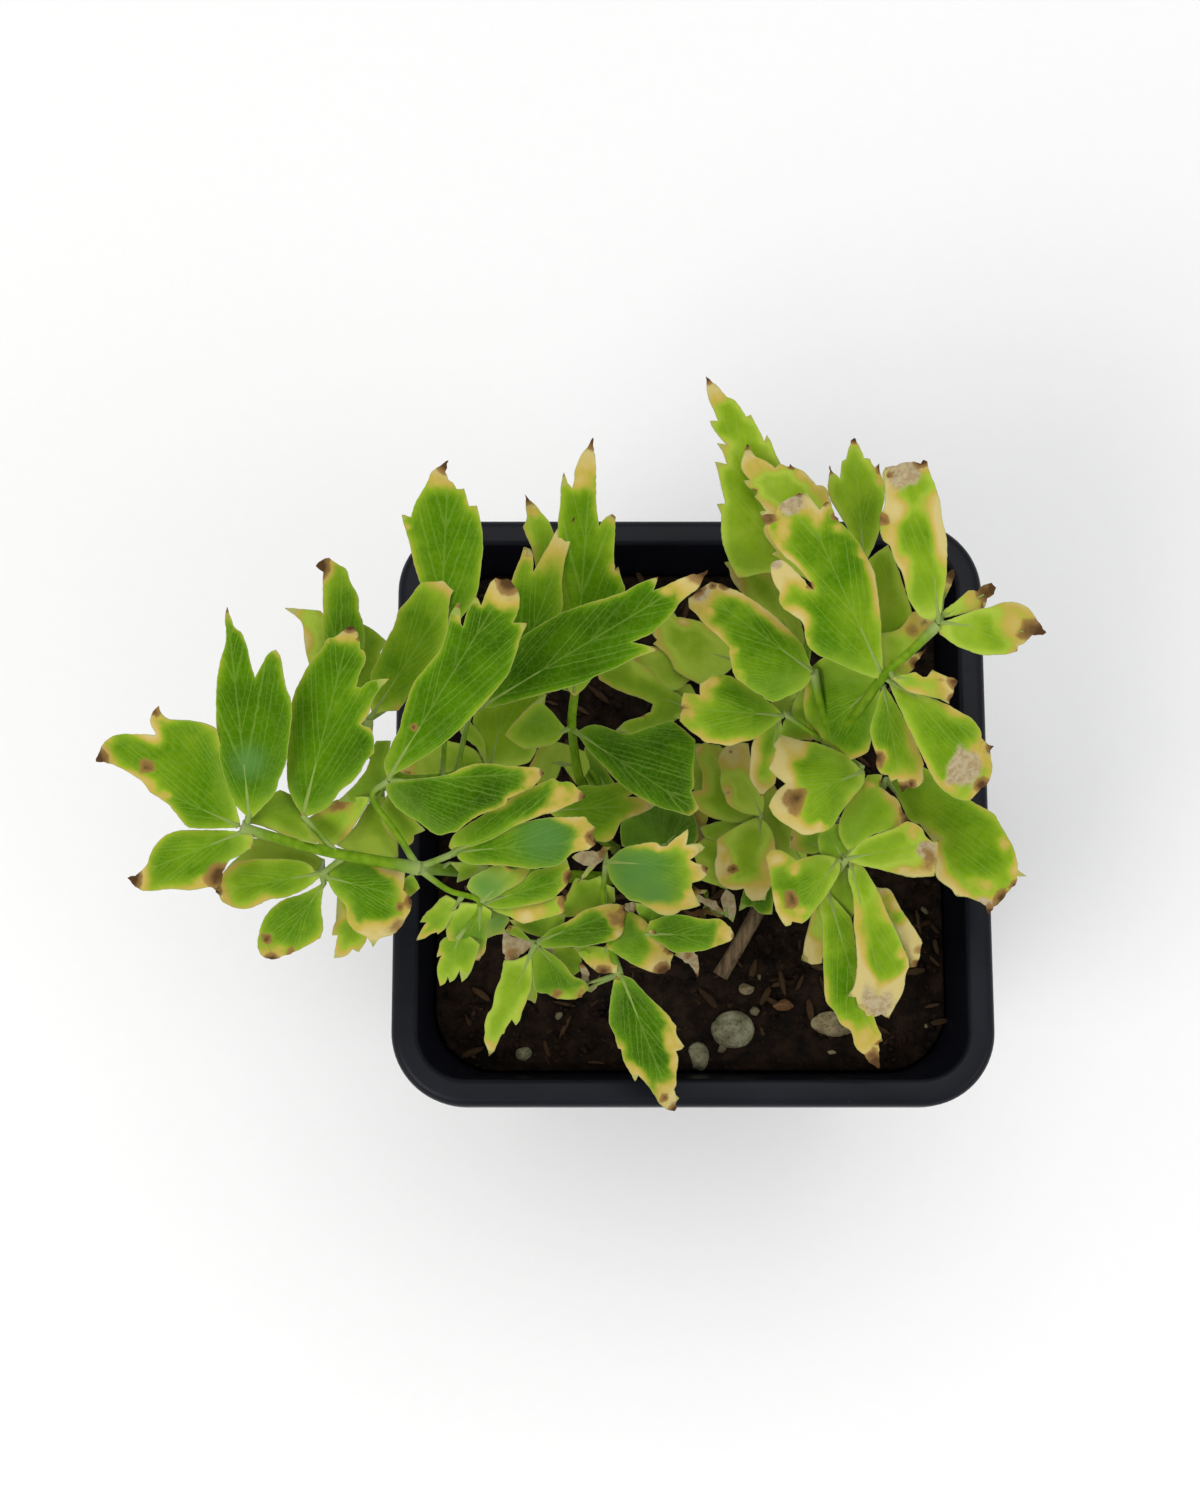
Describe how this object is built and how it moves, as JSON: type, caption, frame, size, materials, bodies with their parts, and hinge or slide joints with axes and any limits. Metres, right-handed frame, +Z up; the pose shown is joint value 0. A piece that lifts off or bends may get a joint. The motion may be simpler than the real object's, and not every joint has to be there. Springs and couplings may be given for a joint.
{
  "type": "potted lovage",
  "caption": "Young lovage plant with lobed leaflets on arching stems, in a small square tapered nursery pot filled with gritty soil.",
  "frame": {"origin": "middle of the pot's flat base, on the surface that it stands on", "axes": "+Z up; +Y towards the back of the picture's view, +X to its right; the high frond leans to -X"},
  "size_m": [0.1373, 0.1117, 0.1628],
  "materials": {
    "pot_plastic": "satin",
    "soil": "matte",
    "pebble_grey": "matte",
    "pebble_tan": "matte",
    "pebble_brown": "matte",
    "leaf_green": "satin",
    "leaf_dark": "satin",
    "leaf_yellow": "satin",
    "dry_leaf": "matte"
  },
  "bodies": {
    "root": {"pot": "pot_plastic", "soil": "soil", "pebble_grey_large": "pebble_grey", "pebble_grey_small": "pebble_grey", "pebble_front_left": "pebble_grey", "pebble_tan_large": "pebble_tan", "pebble_tan_flat": "pebble_tan", "pebble_crumb": "pebble_tan", "pebble_rust": "pebble_brown", "pebble_brown": "pebble_brown", "frond_west": "leaf_green", "frond_northwest": "leaf_dark", "frond_north": "leaf_dark", "frond_south": "leaf_green", "frond_east": "leaf_green", "frond_northeast": "leaf_dark", "frond_southeast": "leaf_yellow", "frond_far_east": "leaf_green", "frond_low_middle": "leaf_green", "frond_low_north": "leaf_dark", "frond_low_west": "leaf_dark", "withered_leaf": "dry_leaf", "dry_stub": "dry_leaf"}
  },
  "joints": []
}
